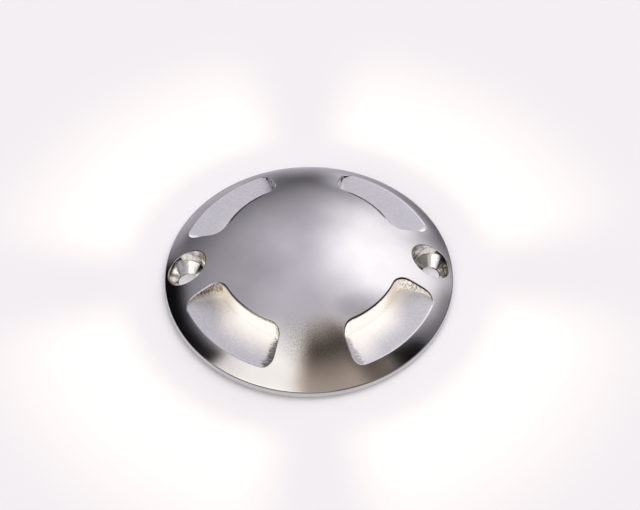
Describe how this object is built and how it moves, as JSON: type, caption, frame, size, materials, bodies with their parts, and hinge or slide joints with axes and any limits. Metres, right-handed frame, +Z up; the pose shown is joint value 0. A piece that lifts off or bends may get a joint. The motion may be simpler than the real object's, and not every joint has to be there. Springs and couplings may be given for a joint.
{
  "type": "recessed ground light",
  "caption": "Recessed ground light: low domed metal cover with diagonal light windows and countersunk screw holes, over a turned housing that drops into a ground sleeve.",
  "frame": {"origin": "middle of the sleeve's foot, on the surface that it stands on; finished ground level is 80 mm above it", "axes": "+Z up along the axis of the sleeve and the dome; +X through the right screw hole; -Y to the front of the picture"},
  "size_m": [0.075, 0.075, 0.0953],
  "materials": {
    "satin_metal": "satin",
    "frosted_lens": "frosted",
    "rubber": "matte",
    "mirror_metal": "mirror",
    "white_board": "semi-gloss",
    "silicone": "matte",
    "bare_aluminium": "turned",
    "red_insulation": "satin",
    "black_insulation": "satin",
    "green_board": "semi-gloss",
    "winding": "enamelled",
    "capacitor_sleeve": "gloss",
    "chip_resin": "matte",
    "grey_plastic": "moulded",
    "white_nylon": "moulded",
    "sleeve_plastic": "moulded",
    "led_resin": "resin",
    "zinc_steel": "zinc plated"
  },
  "bodies": {
    "ground_sleeve": {"sleeve": "sleeve_plastic", "entry_plug": "rubber"},
    "light": {"cover": "satin_metal", "lens_gasket": "rubber", "lens": "frosted_lens", "deflector": "mirror_metal", "led_board": "white_board", "led_1": "led_resin", "led_2": "led_resin", "led_3": "led_resin", "led_4": "led_resin", "board_screw_1": "zinc_steel", "board_screw_2": "zinc_steel", "thermal_pad": "silicone", "housing": "bare_aluminium", "housing_seal": "rubber", "lead_positive": "red_insulation", "lead_negative": "black_insulation", "driver_board": "green_board", "inductor": "winding", "capacitor_1": "capacitor_sleeve", "capacitor_2": "capacitor_sleeve", "rectifier": "chip_resin", "driver_chip": "chip_resin", "terminal_block": "grey_plastic", "terminal_screw_1": "zinc_steel", "terminal_screw_2": "zinc_steel", "board_spacer": "white_nylon", "bottom_cap": "bare_aluminium", "cap_seal": "rubber", "cap_screw_1": "zinc_steel", "cap_screw_2": "zinc_steel", "cap_screw_3": "zinc_steel", "gland_locknut": "grey_plastic", "gland_washer": "rubber", "gland_body": "grey_plastic", "gland_seal": "rubber", "gland_nut": "grey_plastic"}
  },
  "joints": [
    {"name": "light_lift", "type": "slide", "parent": "ground_sleeve", "child": "light", "axis": [0, 0, 1], "range_m": [0, 0.075]}
  ]
}
